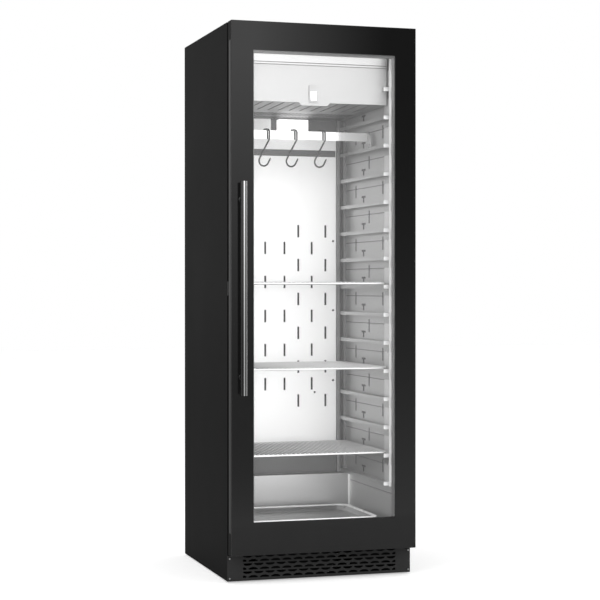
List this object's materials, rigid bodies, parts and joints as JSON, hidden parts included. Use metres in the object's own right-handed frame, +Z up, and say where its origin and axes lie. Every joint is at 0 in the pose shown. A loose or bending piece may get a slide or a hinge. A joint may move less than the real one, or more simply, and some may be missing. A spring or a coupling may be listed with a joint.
{
  "type": "dry aging cabinet",
  "caption": "Upright glass-door cabinet that ages meat: a steel chamber with racks of runners, wire shelves, a rail with hooks, a drip tray and a cooling unit above and below.",
  "frame": {"origin": "on the floor, under the middle of the box that holds the cabinet with its handle", "axes": "+X to the right seen from the front, +Y from the door to the back, +Z up; the door faces -Y"},
  "size_m": [0.595, 0.696, 1.72],
  "materials": {
    "black_paint": "satin",
    "black_plastic": "matte",
    "door_black": "satin",
    "front_glass": "gloss",
    "clear_glass": "gloss",
    "pale_aluminium": "satin",
    "brushed_steel": "satin",
    "bright_steel": "polished",
    "galvanised": "matte",
    "foam": "matte",
    "rubber": "matte",
    "lit_plastic": "satin",
    "copper": "satin",
    "grey_plastic": "matte"
  },
  "bodies": {
    "cabinet": {"base_frame": "black_paint", "chamber_lamp": "lit_plastic", "compressor": "black_paint", "condenser_coil": "black_paint", "condenser_fan_frame": "black_plastic", "control_box": "grey_plastic", "cover_fascia": "brushed_steel", "door_contact": "black_plastic", "drain_tube": "grey_plastic", "evaporation_pan": "grey_plastic", "evaporator_coil": "pale_aluminium", "evaporator_cover": "brushed_steel", "evaporator_fan_frame": "black_plastic", "front_frame": "black_plastic", "hanging_rail": "bright_steel", "insulation": "foam", "kick_grille": "black_paint", "led_strip": "lit_plastic", "liner_floor": "brushed_steel", "liner_left": "brushed_steel", "liner_rear": "brushed_steel", "liner_right": "brushed_steel", "liner_top": "brushed_steel", "lower_air_box": "brushed_steel", "lower_hinge": "black_paint", "power_inlet": "black_plastic", "rack_left": "bright_steel", "rack_right": "bright_steel", "rear_air_panel": "brushed_steel", "rear_panel": "galvanised", "refrigerant_pipe": "copper", "side_air_panel_left": "brushed_steel", "side_air_panel_right": "brushed_steel", "side_panel_left": "black_paint", "side_panel_right": "black_paint", "status_light": "grey_plastic", "top_panel": "black_paint", "upper_hinge": "black_paint"},
    "door": {"door_frame": "door_black", "outer_glass": "front_glass", "inner_glass": "clear_glass", "glass_spacer": "pale_aluminium", "door_gasket": "rubber", "door_side_trim": "pale_aluminium", "handle_bar": "brushed_steel", "handle_standoff_upper": "brushed_steel", "handle_standoff_lower": "brushed_steel"},
    "shelf_upper": {"shelf_upper": "bright_steel"},
    "shelf_middle": {"shelf_middle": "bright_steel"},
    "shelf_lower": {"shelf_lower": "bright_steel"},
    "drip_tray": {"drip_tray": "brushed_steel"},
    "hook_1": {"hook_1": "bright_steel"},
    "hook_2": {"hook_2": "bright_steel"},
    "hook_3": {"hook_3": "bright_steel"},
    "evaporator_fan_rotor": {"evaporator_fan_rotor": "black_plastic"},
    "condenser_fan_rotor": {"condenser_fan_rotor": "black_plastic"},
    "levelling_foot_1": {"levelling_foot_1": "rubber"},
    "levelling_foot_2": {"levelling_foot_2": "rubber"},
    "levelling_foot_3": {"levelling_foot_3": "rubber"},
    "levelling_foot_4": {"levelling_foot_4": "rubber"}
  },
  "joints": [
    {"name": "door_hinge", "type": "hinge", "parent": "cabinet", "child": "door", "pos_m": [0.2755, -0.286, 0.9], "axis": [0, 0, 1], "range_deg": [0, 110]},
    {"name": "shelf_upper_slide", "type": "slide", "parent": "cabinet", "child": "shelf_upper", "axis": [0, -1, 0], "range_m": [0, 0.073]},
    {"name": "shelf_middle_slide", "type": "slide", "parent": "cabinet", "child": "shelf_middle", "axis": [0, -1, 0], "range_m": [0, 0.073]},
    {"name": "shelf_lower_slide", "type": "slide", "parent": "cabinet", "child": "shelf_lower", "axis": [0, -1, 0], "range_m": [0, 0.073]},
    {"name": "drip_tray_slide", "type": "slide", "parent": "cabinet", "child": "drip_tray", "axis": [0, -1, 0], "range_m": [0, 0.09]},
    {"name": "hook_1_slide", "type": "slide", "parent": "cabinet", "child": "hook_1", "axis": [1, 0, 0], "range_m": [-0.03, 0.03]},
    {"name": "hook_2_slide", "type": "slide", "parent": "cabinet", "child": "hook_2", "axis": [1, 0, 0], "range_m": [-0.03, 0.03]},
    {"name": "hook_3_slide", "type": "slide", "parent": "cabinet", "child": "hook_3", "axis": [1, 0, 0], "range_m": [-0.03, 0.03]},
    {"name": "evaporator_fan_spin", "type": "hinge", "parent": "cabinet", "child": "evaporator_fan_rotor", "pos_m": [0, 0.1965, 1.5438], "axis": [0, 1, 0], "continuous": true},
    {"name": "condenser_fan_spin", "type": "hinge", "parent": "cabinet", "child": "condenser_fan_rotor", "pos_m": [-0.0699, -0.1385, 0.0618], "axis": [0, 1, 0], "continuous": true},
    {"name": "levelling_foot_1_turn", "type": "hinge", "parent": "cabinet", "child": "levelling_foot_1", "pos_m": [-0.2555, -0.212, 0.01], "axis": [0, 0, 1], "continuous": true},
    {"name": "levelling_foot_2_turn", "type": "hinge", "parent": "cabinet", "child": "levelling_foot_2", "pos_m": [-0.2555, 0.308, 0.01], "axis": [0, 0, 1], "continuous": true},
    {"name": "levelling_foot_3_turn", "type": "hinge", "parent": "cabinet", "child": "levelling_foot_3", "pos_m": [0.2555, -0.212, 0.01], "axis": [0, 0, 1], "continuous": true},
    {"name": "levelling_foot_4_turn", "type": "hinge", "parent": "cabinet", "child": "levelling_foot_4", "pos_m": [0.2555, 0.308, 0.01], "axis": [0, 0, 1], "continuous": true}
  ]
}
